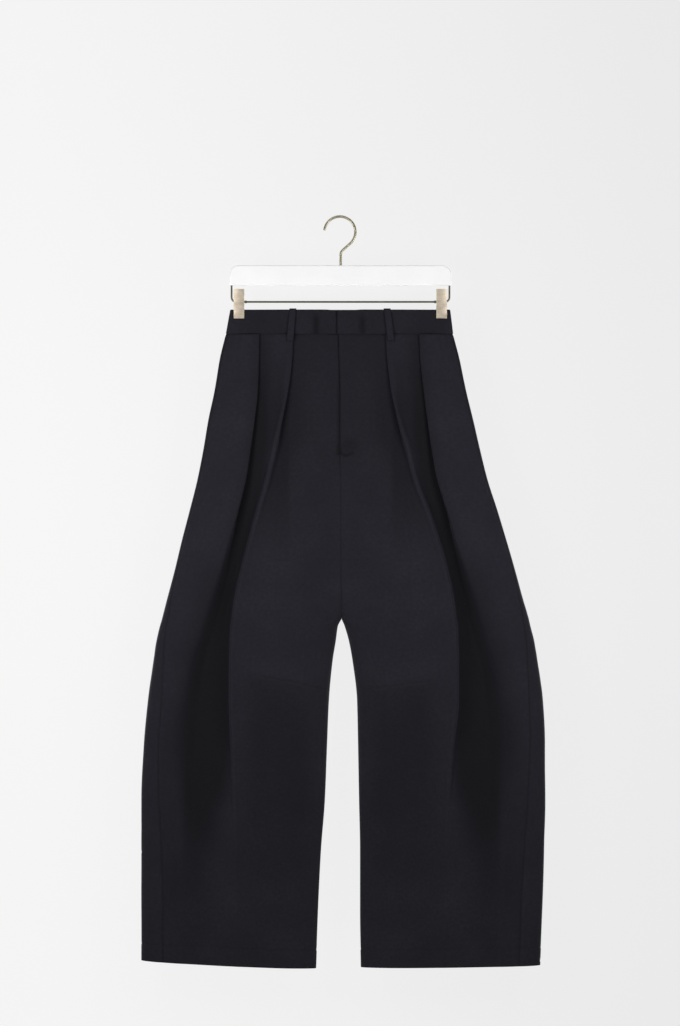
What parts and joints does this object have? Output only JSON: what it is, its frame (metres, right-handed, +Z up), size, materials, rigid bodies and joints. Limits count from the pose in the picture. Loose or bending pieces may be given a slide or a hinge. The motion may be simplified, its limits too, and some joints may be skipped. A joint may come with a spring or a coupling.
{
  "type": "barrel leg trousers on a clip hanger",
  "caption": "Wide barrel leg trousers in near-black wool, double pleated, hanging flat from a white bar hanger with two spring clips.",
  "frame": {"origin": "the inside of the hook's crown, where the hanger rests on a rail", "axes": "+Z up, -Y out of the trousers' front, +X to the wearer's left"},
  "size_m": [0.6434, 0.0509, 1.2016],
  "materials": {
    "cloth": "near-black navy wool twill, matte with a faint sheen",
    "bar": "smooth white satin lacquer",
    "clip": "satin champagne nickel",
    "hook": "satin pewter wire"
  },
  "bodies": {
    "root": {"front_left": "cloth", "front_right": "cloth", "back_left": "cloth", "back_right": "cloth", "fly_shield": "cloth", "waistband_left": "cloth", "waistband_right": "cloth", "loop_front_left": "cloth", "loop_front_right": "cloth", "loop_side_left": "cloth", "loop_side_right": "cloth", "loop_back": "cloth", "hanger_bar": "bar", "hanger_hook": "hook", "hanger_rod": "hook", "clip_front_left": "clip", "clip_front_right": "clip", "clip_back_left": "clip", "clip_back_right": "clip", "clip_spring_left": "clip", "clip_spring_right": "clip"}
  },
  "joints": []
}
